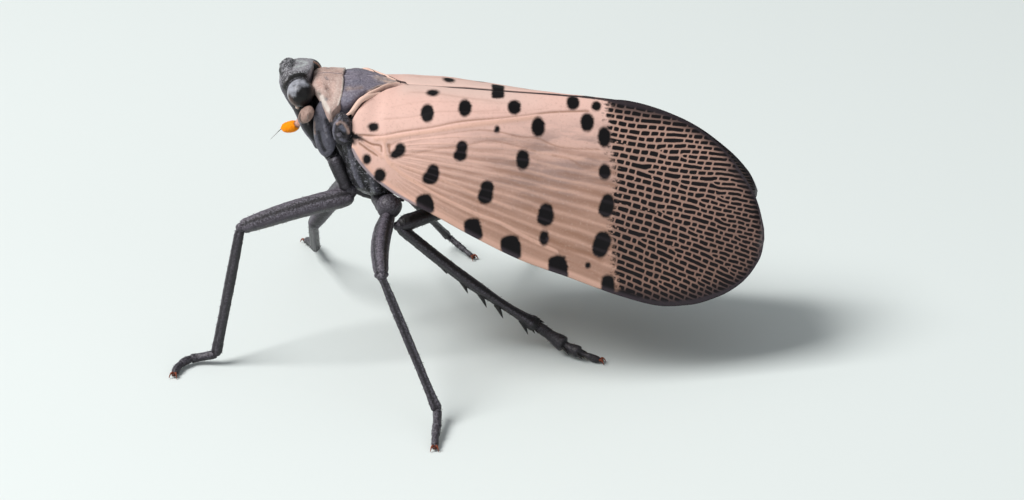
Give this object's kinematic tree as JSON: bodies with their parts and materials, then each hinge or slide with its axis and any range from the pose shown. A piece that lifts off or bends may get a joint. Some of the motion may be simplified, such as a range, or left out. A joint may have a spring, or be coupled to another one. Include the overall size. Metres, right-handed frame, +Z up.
{
  "type": "spotted lanternfly display model",
  "caption": "Still life-size model of an adult spotted lanternfly standing with its wings folded like a roof, head raised and its near foreleg set forward.",
  "frame": {"origin": "middle of the underside of the bounding box, on the floor under the insect", "axes": "+X towards the tips of the folded wings (the head points to -X), +Y towards the insect's right side, +Z up"},
  "size_m": [0.0292, 0.0234, 0.0148],
  "materials": {
    "head_cuticle": "fine-grained dark grey cuticle with paler ridges",
    "eye": "glossy black, faceted compound eye",
    "antenna": "satin orange bulb with fine pits",
    "pronotum": "pale pink-beige cuticle with grey mottles",
    "mesonotum": "grey cuticle, pinkish towards the tip",
    "flank": "grey cuticle with a dusty bloom",
    "dark_cuticle": "near-black cuticle with specks of wax",
    "abdomen": "yellow cuticle with broad black bands",
    "forewing": "leathery pink-tan wing with black spots and a netted dark tip",
    "hindwing": "thin scarlet wing with black spots, a white band and a black tip",
    "leg": "dark cuticle, dusty grey on the femora"
  },
  "bodies": {
    "root": {"head": "head_cuticle", "rostrum": "dark_cuticle", "pronotum": "pronotum", "prothorax": "dark_cuticle", "mesonotum": "mesonotum", "thorax": "dark_cuticle", "abdomen": "abdomen", "eye_left": "eye", "antenna_left": "antenna", "propleuron_left": "flank", "tegula_left": "flank", "forewing_left": "forewing", "hindwing_left": "hindwing", "coxa_fore_left": "leg", "femur_fore_left": "leg", "tibia_fore_left": "leg", "tarsus_fore_left": "leg", "coxa_mid_left": "leg", "femur_mid_left": "leg", "tibia_mid_left": "leg", "tarsus_mid_left": "leg", "coxa_hind_left": "leg", "femur_hind_left": "leg", "tibia_hind_left": "leg", "tarsus_hind_left": "leg", "eye_right": "eye", "antenna_right": "antenna", "propleuron_right": "flank", "tegula_right": "flank", "forewing_right": "forewing", "hindwing_right": "hindwing", "coxa_fore_right": "leg", "femur_fore_right": "leg", "tibia_fore_right": "leg", "tarsus_fore_right": "leg", "coxa_mid_right": "leg", "femur_mid_right": "leg", "tibia_mid_right": "leg", "tarsus_mid_right": "leg", "coxa_hind_right": "leg", "femur_hind_right": "leg", "tibia_hind_right": "leg", "tarsus_hind_right": "leg"}
  },
  "joints": []
}
